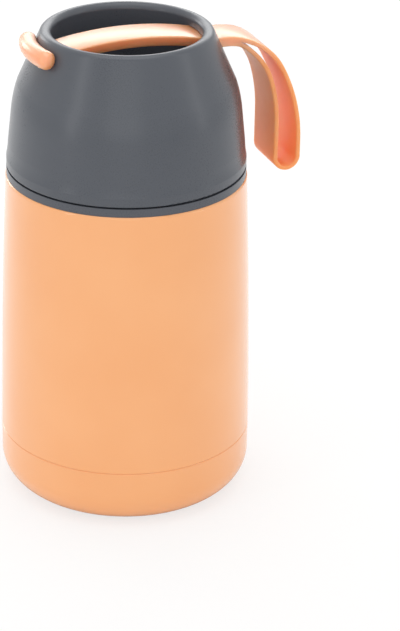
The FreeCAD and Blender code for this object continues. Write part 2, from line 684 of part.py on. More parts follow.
def make_stopper_cap():
    well = "(button_radius + button_gap)"
    body = turned("stopper_cap", [
        ("tube_bore", grip_under),
        (grip_outer, grip_under),
        (grip_outer, stopper_top),
        (f"{grip_outer} - grip_wall", stopper_top),
        (f"{grip_outer} - grip_wall", grip_floor),
        ("hub_radius", grip_floor),
        ("hub_radius", hub_top),
        (well, hub_top),
        (well, spring_seat),
        ("tube_bore", spring_seat),
    ])
    near = "(hub_radius - grip_wall / 2)"
    far = f"({grip_outer} - grip_wall / 2)"
    low = f"{grip_floor} - grip_wall / 2"
    pad(body, "grip_bar_left", "XZ_Plane", rectangle(f"0 - {far}", f"0 - {near}", low, hub_top),
        "grip_bar_width")
    pad(body, "grip_bar_right", "XZ_Plane", rectangle(near, far, low, hub_top), "grip_bar_width")


def make_stopper_foam():
    turned("stopper_foam", rectangle("tube_radius + foam_gap", f"{stopper_inner} - foam_gap",
                                     "stopper_floor + stopper_wall + foam_gap", f"{grip_under} - foam_gap"))


def make_stopper_gasket():
    turned("stopper_gasket", rectangle(f"{stopper_root} + gasket_side_gap",
                                       "stopper_flange_radius - gasket_side_gap",
                                       f"{rim_top} + gasket_gap", flange_low))


# Vent

def make_vent():
    stem_end = f"({seal_top} - vent_seal_socket)"
    turned("vent_button", [
        ("0", stem_end),
        ("stem_radius", stem_end),
        ("stem_radius", button_under),
        ("button_radius", button_under),
        ("button_radius", f"{button_top} - button_round"),
        round_point("(button_radius - button_round)", f"({button_top} - button_round)",
                    "button_round", "+", "+"),
        ("button_radius - button_round", button_top),
        ("0", button_top),
    ])
    turned("vent_seal", [
        ("0", f"{seal_top} - vent_seal_thick"),
        ("vent_seal_radius", f"{seal_top} - vent_seal_thick"),
        ("vent_seal_radius", seal_top),
        ("stem_radius", seal_top),
        ("stem_radius", stem_end),
        ("0", stem_end),
    ])


def make_vent_spring():
    """The spring's wire has eight flats."""
    wire = value("spring_wire") / 2
    low = value(f"{spring_seat} + spring_gap") + wire
    high = value(f"{button_under} - spring_gap") - wire
    radius = value("spring_radius")
    turns = value("spring_turns")
    helix = Part.makeHelix((high - low) / turns, high - low, radius)
    turned_by = [math.radians(22.5 + 45 * side) for side in range(9)]
    profile = Part.makePolygon([spot(radius + wire * math.cos(angle), wire * math.sin(angle))
                                for angle in turned_by])
    spring = doc.addObject("Part::Feature", "vent_spring")
    spring.Label = "vent_spring"
    spring.Shape = Part.Wire(helix).makePipeShell([Part.Wire(profile)], True, True)
    spring.Placement = FreeCAD.Placement(FreeCAD.Vector(0, 0, low), FreeCAD.Rotation())


# Strap: X along its run and Z up

def bend(centre, radius, start, end):
    """An arc about a centre between two angles in degrees."""
    angles = (start, (start + end) / 2, end)
    points = [centre + spot(radius * math.cos(math.radians(a)), radius * math.sin(math.radians(a)))
              for a in angles]
    return Part.Arc(*points).toShape(), points[0], points[2]


def bend_on(start, heading, end):
    """An arc that leaves start along a heading in degrees and reaches end."""
    chord = end - start
    length = chord.Length
    aim = math.atan2(chord.z, chord.x)
    half_turn = aim - math.radians(heading)
    half_turn = math.atan2(math.sin(half_turn), math.cos(half_turn))
    side = spot(-chord.z / length, chord.x / length)
    middle = (start + end) * 0.5 - side * (length / 2 * math.tan(half_turn / 2))
    return Part.Arc(start, middle, end).toShape()


def straight(start, end):
    return Part.LineSegment(start, end).toShape()


def band_edges(drop):
    """The band's top line lowered by this much, from the end bar to the hand loop."""
    half_span = value("band_half_span")
    rise = value("band_rise")
    exit_height = value("band_exit_height")
    both = (half_span ** 2 + rise ** 2) / (2 * rise)
    reverse = value("band_reverse_radius")
    crown = both - reverse
    slope = math.degrees(math.asin(half_span / both))
    top = exit_height + rise
    left_edge, left_start, left_end = bend(spot(-half_span, exit_height + reverse), reverse + drop,
                                           -90, -90 + slope)
    crown_edge, crown_start, crown_end = bend(spot(0, top - crown), crown - drop, 90 + slope, 90 - slope)
    right_edge, right_start, right_end = bend(spot(half_span, exit_height + reverse), reverse + drop,
                                              -90 - slope, -90)
    bar_end = spot(-value("bar_circle"), exit_height - drop)
    root = spot(value("loop_root"), exit_height - drop)
    edges = [straight(bar_end, left_start), left_edge, crown_edge, right_edge, straight(right_end, root)]
    return edges, bar_end, root


def make_end_bar():
    """The bar that stops the strap outside the neck: its back follows the dome, its ends are rounded."""
    centre = spot(value("bar_circle"), value("bar_height"))
    radius = value("bar_radius")
    sweep = value("bar_half_angle")
    lean = cone_slope()
    outward = spot(math.cos(lean), math.sin(lean))
    upward = spot(-math.sin(lean), math.cos(lean))
    depth = (centre.x - cone_radius(centre.z) - value("bar_gap")) * math.cos(lean)
    half_back = math.sqrt(radius ** 2 - depth ** 2)
    back_high = centre - outward * depth + upward * half_back
    back_low = centre - outward * depth - upward * half_back
    front = centre + outward * radius
    curve = Part.Arc(back_high, front, back_low).toShape()
    section = Part.Face(Part.Wire([straight(back_low, back_high), curve]))
    section.rotate(FreeCAD.Vector(), FreeCAD.Vector(0, 0, 1), 180 - sweep)
    bar = section.revolve(FreeCAD.Vector(), FreeCAD.Vector(0, 0, 1), 2 * sweep)
    ends = [face for face in bar.Faces if isinstance(face.Surface, Part.Plane)]
    rims = [edge for face in ends for edge in face.Edges]
    return bar.makeFillet(value("bar_end_round"), rims)


def make_strap_band():
    top_edges, bar_top, root_top = band_edges(0.0)
    low_edges, bar_low, root_low = band_edges(value("band_thick"))
    outline = top_edges + low_edges + [straight(bar_top, bar_low), straight(root_top, root_low)]
    width = value("band_width")
    face = Part.Face(Part.Wire(Part.__sortEdges__(outline)))
    band = face.extrude(FreeCAD.Vector(0, width, 0))
    band.translate(FreeCAD.Vector(0, -width / 2, 0))
    bar = make_end_bar()
    strap = doc.addObject("Part::Feature", "strap_band")
    strap.Label = "strap_band"
    strap.Shape = bar.fuse(band).removeSplitter().Solids[0]
    strap.Placement = FreeCAD.Placement()


def loop_side():
    """The hand loop seen from the side: outer boundary and the hole between its two layers."""
    layer = value("loop_layer")
    first = value("loop_first_radius")
    turn = value("loop_first_turn")
    second = value("loop_second_radius")
    root = value("loop_root")
    top = value("band_exit_height")
    half = value("loop_hole") / 2 + layer
    first_centre = spot(root, top - first)
    corner = math.radians(90 - turn)
    second_centre = first_centre + spot(math.cos(corner), math.sin(corner)) * (first - second)
    bottom_centre = spot(second_centre.x + second - half, value("loop_low") + half)
    long_radius = value("loop_inner_radius")
    long_turn = value("loop_inner_turn")
    straight_high = value("loop_straight_high")
    long_centre = spot(bottom_centre.x - half - long_radius, straight_high)

    def layers(inset, start_turn, finish):
        edge, first_start, first_end = bend(first_centre, first - inset, 90 - start_turn, 90 - turn)
        long_edge, second_start, second_end = bend(second_centre, second - inset, 90 - turn, 0)
        right_low = spot(second_end.x, bottom_centre.z)
        u_turn, u_start, u_end = bend(bottom_centre, half - inset, 0, -180)
        left_high = spot(u_end.x, straight_high)
        inner_edge, inner_start, inner_end = bend(long_centre, long_radius + inset, 0, long_turn)
        end = finish if finish else first_start
        last = bend_on(inner_end, 90 + long_turn, end)
        return [edge, long_edge, straight(second_end, right_low), u_turn, straight(u_end, left_high),
                inner_edge, last], first_start

    root_low = spot(root, top - value("band_thick"))
    outer, outer_start = layers(0.0, 0.0, root_low)
    outer.append(straight(root_low, outer_start))
    hole, hole_start = layers(layer, value("loop_tip_turn"), None)
    return outer, hole


def make_strap_loop():
    outer, hole = loop_side()
    face = Part.Face([Part.Wire(Part.__sortEdges__(outer)), Part.Wire(Part.__sortEdges__(hole))])
    face.validate()
    width = value("loop_width")
    side = face.extrude(FreeCAD.Vector(0, width, 0))
    side.translate(FreeCAD.Vector(0, -width / 2, 0))
    near = value("band_width") / 2
    wide = width / 2
    root = value("loop_root")
    flare_start = value("loop_flare_start")
    flare_end = value("loop_flare_end")
    far = flare_end + value("loop_second_radius")
    half_plan = [(root, near), (flare_start, near), (flare_end, wide), (far, wide)]
    plan_points = half_plan + [(across, -along) for across, along in reversed(half_plan)]
    plan = [FreeCAD.Vector(across, along, 0) for across, along in plan_points]
    plan.append(plan[0])
    slab = Part.Face(Part.makePolygon(plan)).extrude(FreeCAD.Vector(0, 0, 2 * value("band_exit_height")))
    strap = doc.addObject("Part::Feature", "strap_loop")
    strap.Label = "strap_loop"
    strap.Shape = side.common(slab).removeSplitter().Solids[0]
    strap.Placement = FreeCAD.Placement()


make_bottom_cap()
make_outer_shell()
make_inner_vessel()
make_inner_bottom()
make_hidden_pieces()
make_collar()
make_dome_cover()
make_dome_liner()
make_dome_gasket()
make_stopper_cup()
make_stopper_cap()
make_stopper_foam()
make_stopper_gasket()
make_vent()
make_vent_spring()
make_strap_band()
make_strap_loop()
doc.recompute()

solid_types = ("PartDesign::Body", "Part::Cylinder", "Part::Feature")
pieces = [item for item in doc.Objects if item.TypeId in solid_types]
for item in doc.Objects:
    if "Invalid" in item.State or "Error" in item.State:
        raise RuntimeError(f"{item.Label} failed: {item.State}")
for piece in pieces:
    if piece.Shape.isNull() or not piece.Shape.isValid():
        raise RuntimeError(f"{piece.Label} has no valid shape")
    print(piece.Label, len(piece.Shape.Solids), "solid,", round(piece.Shape.Volume), "mm3")

os.makedirs("parts", exist_ok=True)
for piece in pieces:
    piece.Shape.exportStep(os.path.join("parts", f"{piece.Label}.step"))
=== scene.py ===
import json
import math

import bmesh
import bpy
from mathutils import Matrix, Vector


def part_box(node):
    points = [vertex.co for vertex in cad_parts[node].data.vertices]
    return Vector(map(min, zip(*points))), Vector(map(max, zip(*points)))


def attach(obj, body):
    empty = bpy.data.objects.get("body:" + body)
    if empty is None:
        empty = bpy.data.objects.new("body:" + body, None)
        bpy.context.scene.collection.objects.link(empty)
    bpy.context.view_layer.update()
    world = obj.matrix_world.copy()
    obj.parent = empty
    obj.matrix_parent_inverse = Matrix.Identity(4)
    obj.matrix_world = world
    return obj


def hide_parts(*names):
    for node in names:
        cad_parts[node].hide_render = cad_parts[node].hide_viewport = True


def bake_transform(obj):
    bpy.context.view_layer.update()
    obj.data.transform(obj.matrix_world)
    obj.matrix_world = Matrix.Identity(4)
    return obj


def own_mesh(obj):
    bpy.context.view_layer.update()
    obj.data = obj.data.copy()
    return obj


# Food jar with a dome lid and a through-strap, dressed over its CAD model. The scene is in metres, +Z up,
# with the strap along X. Sizes of pieces and of surface textures below are in millimetres and degrees,
# those of studio and camera in metres, and colours are screen colours from 0 to 255.

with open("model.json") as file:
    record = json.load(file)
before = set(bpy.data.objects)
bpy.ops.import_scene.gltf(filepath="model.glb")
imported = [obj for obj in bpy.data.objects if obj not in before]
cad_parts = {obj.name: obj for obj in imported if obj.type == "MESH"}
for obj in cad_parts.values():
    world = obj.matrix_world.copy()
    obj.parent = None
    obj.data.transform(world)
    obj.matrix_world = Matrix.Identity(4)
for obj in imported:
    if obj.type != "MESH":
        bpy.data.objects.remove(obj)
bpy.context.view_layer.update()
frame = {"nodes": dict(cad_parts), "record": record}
mm = 0.001
print("frame loaded:", len(frame["nodes"]), "nodes")


# Materials

def tint(colour):
    # screen colour as the shader wants it, by the curve of sRGB
    shares = [level / 255 for level in colour]
    straight = [share / 12.92 if share <= 0.04045 else ((share + 0.055) / 1.055) ** 2.4
                for share in shares]
    return (*straight, 1.0)


class Wire:
    # one socket of a material, so that shader maths reads as plain arithmetic
    def __init__(self, finish, socket):
        self.finish = finish
        self.socket = socket

    def maths(self, operation, other):
        return self.finish.node("ShaderNodeMath", {"operation": operation}, {0: self, 1: other})

    def __add__(self, other):
        return self.maths("ADD", other)

    def __sub__(self, other):
        return self.maths("SUBTRACT", other)

    def __mul__(self, other):
        return self.maths("MULTIPLY", other)

    def swing(self, amount):
        # noise from 0 to 1, turned into a change of this much in all, to either side of nothing
        return (self - 0.5) * amount


class Finish:
    # a material under construction
    def __init__(self, name):
        self.material = bpy.data.materials.new(name)
        self.material.use_nodes = True
        self.tree = self.material.node_tree
        self.tree.nodes.clear()
        self.place = self.node("ShaderNodeTexCoord", out="Object")

    def node(self, kind, settings=None, sockets=None, out=0):
        made = self.tree.nodes.new(kind)
        for name, setting in (settings or {}).items():
            setattr(made, name, setting)
        for name, item in (sockets or {}).items():
            if isinstance(item, Wire):
                self.tree.links.new(item.socket, made.inputs[name])
            else:
                made.inputs[name].default_value = item
        return Wire(self, made.outputs[out]) if made.outputs else made

    def grain(self, size, stretch=(1, 1, 1), detail=3, roughness=0.5):
        # noise whose spots are about this many millimetres across, from 0 to 1
        place = self.node("ShaderNodeMapping", sockets={"Vector": self.place, "Scale": stretch})
        return self.node("ShaderNodeTexNoise", sockets={
            "Vector": place, "Scale": 1 / (size * mm), "Detail": detail, "Roughness": roughness})

    def cells(self, size, feature="F1"):
        # cells about this many millimetres across: the way to each cell's point, or to its edge
        return self.node("ShaderNodeTexVoronoi", {"feature": feature},
                         {"Vector": self.place, "Scale": 1 / (size * mm)})

    def steps(self, level, low, high):
        # 0 at low and before it, 1 at high and past it, straight between
        return self.node("ShaderNodeMapRange", sockets={
            "Value": level, "From Min": low, "From Max": high, "To Min": 0.0, "To Max": 1.0})

    def between(self, level, first, second):
        # from the first colour to the second, each a screen colour or a wire
        # the mix node's sockets 6 and 7 and its output 2 are those for colours
        first, second = (item if isinstance(item, Wire) else tint(item) for item in (first, second))
        return self.node("ShaderNodeMix", {"data_type": "RGBA"}, {0: level, 6: first, 7: second}, out=2)

    def bump(self, level, height):
        # relief of this height in millimetres where the level is 1
        return self.node("ShaderNodeBump", sockets={
            "Height": level, "Distance": height * mm, "Strength": 1.0})

    def done(self, **sockets):
        words = {name.replace("_", " "): item for name, item in sockets.items()}
        shader = self.node("ShaderNodeBsdfPrincipled", sockets=words)
        self.node("ShaderNodeOutputMaterial", sockets={"Surface": shader})
        return self.material


paintLook = {
    "colour": (247, 174, 112), "deep": (245, 170, 107), "driftSize": 34, "driftRange": (0.35, 0.65),
    "speck": (255, 205, 165), "speckShare": 0.10, "dustSize": 2.6, "dustRange": (0.10, 0.04),
    "peelSize": 1.9, "peelHeight": 0.006, "roughness": 0.36, "driftSwing": 0.08,
    "coat": 1.0, "coatRoughness": 0.05,
}


def makeBodyPaint(look):
    # sprayed gloss paint: soft drifts of colour, orange peel, fine dust under the lacquer
    finish = Finish("bodyPaint")
    drift = finish.grain(look["driftSize"], detail=2)
    peel = finish.grain(look["peelSize"], detail=2, roughness=0.4)
    dust = finish.steps(finish.cells(look["dustSize"]), *look["dustRange"])
    colour = finish.between(finish.steps(drift, *look["driftRange"]), look["colour"], look["deep"])
    return finish.done(
        Base_Color=finish.between(dust * look["speckShare"], colour, look["speck"]),
        Roughness=drift.swing(look["driftSwing"]) + look["roughness"],
        Normal=finish.bump(peel, look["peelHeight"]),
        Coat_Weight=look["coat"], Coat_Roughness=look["coatRoughness"])


mouldingTexture = {
    "grainSize": 0.42, "grainSwing": 0.12, "grainShare": 0.25,
    "flowSize": 26, "flowStretch": (1, 1, 0.45), "flowRange": (0.35, 0.65), "flowSwing": 0.08,
    "flowShare": 0.75,
}


def makeMoulding(name, colour, other, roughness, relief):
    # spark-eroded moulding texture with faint flow marks
    texture = mouldingTexture
    finish = Finish(name)
    fine = finish.grain(texture["grainSize"], detail=3, roughness=0.6)
    flow = finish.grain(texture["flowSize"], stretch=texture["flowStretch"], detail=2)
    patches = finish.steps(flow, *texture["flowRange"])
    level = patches * texture["flowShare"] + fine * texture["grainShare"]
    return finish.done(
        Base_Color=finish.between(level, colour, other),
        Roughness=fine.swing(texture["grainSwing"]) + flow.swing(texture["flowSwing"]) + roughness,
        Normal=finish.bump(fine, relief))


elastomerTexture = {
    "cloudSize": 9, "cloudRange": (0.3, 0.7), "skinSize": 0.8, "skinSwing": 0.10, "skinHeight": 0.010,
    "bleed": (1.0, 0.74, 0.50), "bleedDepth": 4.5, "specular": 0.2,
    "coatRoughness": 0.26, "coatIndex": 1.9,
}


def makeElastomer(name, colour, other, roughness, softness, polishedFrom, polishedTo):
    # soft moulding with slight clouding and a skin that isn't quite flat, polished above a height
    texture = elastomerTexture
    finish = Finish(name)
    height = finish.node("ShaderNodeSeparateXYZ", sockets={"Vector": finish.place}, out="Z")
    cloud = finish.grain(texture["cloudSize"], detail=3)
    skin = finish.grain(texture["skinSize"], detail=2)
    return finish.done(
        Base_Color=finish.between(finish.steps(cloud, *texture["cloudRange"]), colour, other),
        Roughness=skin.swing(texture["skinSwing"]) + roughness,
        Normal=finish.bump(skin, texture["skinHeight"]),
        Subsurface_Weight=softness, Subsurface_Radius=texture["bleed"],
        Subsurface_Scale=texture["bleedDepth"] * mm, Specular_IOR_Level=texture["specular"],
        Coat_Weight=finish.steps(height, polishedFrom * mm, polishedTo * mm),
        Coat_Roughness=texture["coatRoughness"], Coat_IOR=texture["coatIndex"])


steelTexture = {
    "lineSwing": 0.20, "lineShare": 0.7, "lineHeight": 0.006, "stainSize": 14, "stainSwing": 0.08,
    "stainShare": 0.3,
}


def makeSteel(name, colour, other, roughness, lineSize, stretch):
    # lines left by turning or drawing
    texture = steelTexture
    finish = Finish(name)
    lines = finish.grain(lineSize, stretch=stretch, detail=4, roughness=0.7)
    stain = finish.grain(texture["stainSize"], detail=3)
    level = lines * texture["lineShare"] + stain * texture["stainShare"]
    return finish.done(
        Base_Color=finish.between(level, colour, other), Metallic=1.0,
        Roughness=lines.swing(texture["lineSwing"]) + roughness + stain.swing(texture["stainSwing"]),
        Normal=finish.bump(lines, texture["lineHeight"]))


foilLook = {
    "colour": (214, 210, 203), "other": (232, 230, 226), "creaseSize": 6.0, "creaseWidth": 0.12,
    "creaseShare": 0.6, "waveSize": 11, "relief": 0.25, "roughness": 0.16, "waveRoughness": 0.16,
}


def makeFoil(look):
    finish = Finish("reflectiveFoil")
    crease = finish.cells(look["creaseSize"], feature="DISTANCE_TO_EDGE")
    wave = finish.grain(look["waveSize"], detail=3)
    folds = finish.steps(crease, 0.0, look["creaseWidth"])
    return finish.done(
        Base_Color=finish.between(wave, look["colour"], look["other"]), Metallic=1.0,
        Roughness=wave * look["waveRoughness"] + look["roughness"],
        Normal=finish.bump(folds * look["creaseShare"] + wave, look["relief"]))


foamLook = {
    "colour": (206, 196, 170), "other": (240, 233, 214), "cellSize": 1.1, "wallWidth": 0.14, "dip": 0.4,
    "relief": 0.22, "roughness": 0.88, "wallRoughness": -0.10,
}


def makeFoam(look):
    finish = Finish("cellFoam")
    cell = finish.cells(look["cellSize"])
    edge = finish.cells(look["cellSize"], feature="DISTANCE_TO_EDGE")
    wall = finish.steps(edge, 0.0, look["wallWidth"])
    return finish.done(
        Base_Color=finish.between(wall, look["colour"], look["other"]),
        Roughness=wall * look["wallRoughness"] + look["roughness"],
        Normal=finish.bump(wall - cell * look["dip"], look["relief"]))


sinterLook = {
    "colour": (96, 96, 98), "other": (148, 147, 146), "gritSize": 0.35, "relief": 0.06, "metallic": 0.6,
    "roughness": 0.60, "gritRoughness": 0.25,
}


def makeSinter(look):
    finish = Finish("sinteredPellet")
    grit = finish.grain(look["gritSize"], detail=5, roughness=0.8)
    return finish.done(
        Base_Color=finish.between(grit, look["colour"], look["other"]), Metallic=look["metallic"],
        Roughness=grit * look["gritRoughness"] + look["roughness"],
        Normal=finish.bump(grit, look["relief"]))


glassLook = {
    "colour": (58, 70, 62), "other": (88, 98, 88), "cloudSize": 1.2, "relief": 0.03, "roughness": 0.10,
    "cloudRoughness": 0.15,
}


def makeSealGlass(look):
    finish = Finish("sealGlass")
    cloud = finish.grain(look["cloudSize"], detail=3)
    return finish.done(
        Base_Color=finish.between(cloud, look["colour"], look["other"]),
        Roughness=cloud * look["cloudRoughness"] + look["roughness"],
        Normal=finish.bump(cloud, look["relief"]))


finishes = {
    "painted_steel": makeBodyPaint(paintLook),
    "steel": makeSteel("turnedSteel", colour=(196, 195, 192), other=(222, 221, 218), roughness=0.30,
                       lineSize=0.5, stretch=(0.012, 0.012, 1)),
    "foil": makeFoil(foilLook),
    "seal_glass": makeSealGlass(glassLook),
    "getter_metal": makeSinter(sinterLook),
    "collar_plastic": makeMoulding("collarMoulding", colour=(76, 79, 86), other=(80, 83, 90),
                                   roughness=0.29, relief=0.005),
    "dome_plastic": makeMoulding("domeMoulding", colour=(76, 80, 87), other=(80, 84, 91),
                                 roughness=0.29, relief=0.005),
    "inner_plastic": makeMoulding("innerMoulding", colour=(134, 137, 142), other=(141, 144, 149),
                                  roughness=0.42, relief=0.016),
    "button_plastic": makeMoulding("buttonMoulding", colour=(246, 166, 112), other=(243, 160, 105),
                                   roughness=0.26, relief=0.006),
    "strap_rubber": makeElastomer("strapElastomer", colour=(250, 164, 112), other=(247, 158, 104),
                                  roughness=0.42, softness=0.8, polishedFrom=164, polishedTo=172),
    "silicone": makeElastomer("clearSilicone", colour=(226, 227, 222), other=(214, 216, 211),
                              roughness=0.36, softness=0.4, polishedFrom=0, polishedTo=200),
    "foam": makeFoam(foamLook),
    "spring_steel": makeSteel("springWire", colour=(178, 178, 180), other=(206, 206, 208), roughness=0.20,
                              lineSize=0.2, stretch=(1, 1, 0.3)),
    "base_plastic": makeMoulding("baseMoulding", colour=(74, 77, 82), other=(80, 83, 88),
                                 roughness=0.60, relief=0.03),
}

materialOf = {part["node"]: part["material_slot"] for part in frame["record"]["subparts"]}
for name, node in frame["nodes"].items():
    for place in node.material_slots:
        place.material = finishes[materialOf[name]]
print("finishes:", len(finishes))


# Helpers for the pieces made here, whose meshes are drawn in millimetres

sharpFrom = 50  # degrees between two faces, past which their edge stays sharp


def point(across, up):
    return Vector((across, 0, up))


def edgesOf(geometry):
    return [item for item in geometry if isinstance(item, bmesh.types.BMEdge)]


def runStraight(mesh, ends, across, up):
    made = bmesh.ops.extrude_edge_only(mesh, edges=ends)["geom"]
    corners = {item for item in made if isinstance(item, bmesh.types.BMVert)}
    bmesh.ops.translate(mesh, verts=list(corners), vec=point(across, up))
    return [edge for edge in edgesOf(made) if set(edge.verts) <= corners]


def runRound(mesh, ends, centre, turn, steps):
    # positive turns bend the run down to the right
    corners = list({vertex for edge in ends for vertex in edge.verts})
    spun = bmesh.ops.spin(mesh, geom=ends + corners, cent=centre, axis=(0, 1, 0), dvec=(0, 0, 0),
                          angle=math.radians(turn), steps=steps, use_duplicate=False)
    return edgesOf(spun["geom_last"])


def runRing(mesh, sides, radius, centre, startTurn, turn, climb, steps):
    # tube round the jar's axis, open at both ends, from a ring on the XZ plane turned to where it starts
    ring = bmesh.ops.create_circle(mesh, segments=sides, radius=radius)["verts"]
    bmesh.ops.rotate(mesh, verts=ring, matrix=Matrix.Rotation(math.pi / 2, 3, "X"))
    bmesh.ops.translate(mesh, verts=ring, vec=centre)
    bmesh.ops.rotate(mesh, verts=ring, matrix=Matrix.Rotation(math.radians(startTurn), 3, "Z"))
    first = list({edge for vertex in ring for edge in vertex.link_edges})
    spun = bmesh.ops.spin(mesh, geom=first + ring, cent=(0, 0, 0), axis=(0, 0, 1), dvec=(0, 0, climb),
                          angle=math.radians(turn), steps=steps, use_duplicate=False)
    return first, edgesOf(spun["geom_last"])


def finishPiece(mesh, name, slot):
    bmesh.ops.scale(mesh, vec=(mm, mm, mm), verts=mesh.verts)
    data = bpy.data.meshes.new(name)
    mesh.normal_update()
    mesh.to_mesh(data)
    mesh.free()
    data.shade_smooth()
    data.set_sharp_from_angle(angle=math.radians(sharpFrom))
    data.materials.append(finishes[slot])
    piece = bpy.data.objects.new(name, data)
    bpy.context.scene.collection.objects.link(piece)
    return piece


# The bar outside the neck keeps the strap from slipping in. Its back is laid on the dome's cone.

barSizes = {
    "centre": 35.6, "section": 3.4, "height": 175.35, "halfTurn": 22.5, "endLength": 3.0, "gap": 0.15,
    "coneRadius": 39.9, "coneHeight": 160.2, "coneTurn": 23.87,
    "sides": 28, "steps": 16, "endRows": 6, "endTip": 0.12,
}


def makeEndBar(sizes):
    mesh = bmesh.new()
    bodyTurn = sizes["halfTurn"] - math.degrees(sizes["endLength"] / sizes["centre"])
    rims = runRing(mesh, sizes["sides"], sizes["section"], point(-sizes["centre"], sizes["height"]),
                   -bodyTurn, 2 * bodyTurn, 0, sizes["steps"])
    for rim, way in zip(rims, (-1, 1)):
        roundBarEnd(mesh, rim, way * math.radians(sizes["halfTurn"] - bodyTurn), sizes)
    bmesh.ops.recalc_face_normals(mesh, faces=mesh.faces)
    for vertex in mesh.verts:
        climbed = vertex.co.z - sizes["coneHeight"]
        clear = sizes["coneRadius"] - climbed * math.tan(math.radians(sizes["coneTurn"])) + sizes["gap"]
        out = math.hypot(vertex.co.x, vertex.co.y)
        if out < clear:
            vertex.co.x *= clear / out
            vertex.co.y *= clear / out
    return finishPiece(mesh, "strapEndBar", "strap_rubber")


def roundBarEnd(mesh, rim, turn, sizes):
    # rows that follow a quarter circle, closed by a small flat tip
    for row in range(1, sizes["endRows"] + 1):
        here = math.pi / 2 * row / sizes["endRows"]
        before = math.pi / 2 * (row - 1) / sizes["endRows"]
        made = bmesh.ops.extrude_edge_only(mesh, edges=rim)["geom"]
        verts = [item for item in made if isinstance(item, bmesh.types.BMVert)]
        centre = sum((vertex.co for vertex in verts), Vector()) / len(verts)
        shrink = max(math.cos(here), sizes["endTip"]) / max(math.cos(before), sizes["endTip"])
        bmesh.ops.scale(mesh, vec=(shrink,) * 3, space=Matrix.Translation(-centre), verts=verts)
        advance = turn * (math.sin(here) - math.sin(before))
        bmesh.ops.rotate(mesh, verts=verts, matrix=Matrix.Rotation(advance, 3, "Z"))
        rim = [edge for edge in edgesOf(made) if edge.verts[0] in verts and edge.verts[1] in verts]
    bmesh.ops.holes_fill(mesh, edges=rim)


# The strap is one soft moulding, from the bar over the recess and round the hand loop. Its side view is
# drawn first, as a run of faces on the XZ plane, and is then given its width.

strapSizes = {
    "width": 15.2, "thick": 3.7, "exitHeight": 175.1, "halfSpan": 33.0, "rise": 3.6, "levelBend": 28.0,
    "root": 36.0, "firstBend": 24.5, "firstTurn": 61.0, "tipTurn": 12.7, "secondBend": 62.0,
    "layer": 1.7, "hole": 7.3, "lowest": 121.0,
    "innerStraightTop": 140.0, "innerBend": 58.3, "innerTurn": 16.5,
    "loopWidth": 20.0, "flareStart": 38.0, "flareEnd": 50.0,
    "edgeRound": 0.55, "edgeSteps": 3, "rimAngle": 51.6, "tightLength": 4.0, "holeReach": 0.12,
    "flex": 12.0, "flexDrop": 6.0,
    "levelSteps": 5, "crownSteps": 22, "tipSteps": 4, "outerSteps": 12, "bottomSteps": 20,
    "innerSteps": 6, "lastSteps": 9,
}


def drawBand(mesh, sizes):
    # over the recess, from the bar to the root, with the line between the loop's two layers already in it
    top = sizes["exitHeight"]
    depths = (0.0, sizes["layer"], sizes["thick"])
    column = [mesh.verts.new(point(-barSizes["centre"], top - depth)) for depth in depths]
    ends = [mesh.edges.new(column[0:2]), mesh.edges.new(column[1:3])]
    crownBend = (sizes["halfSpan"] ** 2 + sizes["rise"] ** 2) / (2 * sizes["rise"])
    slope = math.degrees(math.asin(sizes["halfSpan"] / crownBend))
    crownBase = top + sizes["rise"] - (crownBend - sizes["levelBend"])
    levelHeight = top + sizes["levelBend"]
    ends = runStraight(mesh, ends, barSizes["centre"] - sizes["halfSpan"], 0)
    ends = runRound(mesh, ends, point(-sizes["halfSpan"], levelHeight), -slope, sizes["levelSteps"])
    ends = runRound(mesh, ends, point(0, crownBase), 2 * slope, sizes["crownSteps"])
    ends = runRound(mesh, ends, point(sizes["halfSpan"], levelHeight), -slope, sizes["levelSteps"])
    return runStraight(mesh, ends, sizes["root"] - sizes["halfSpan"], 0)


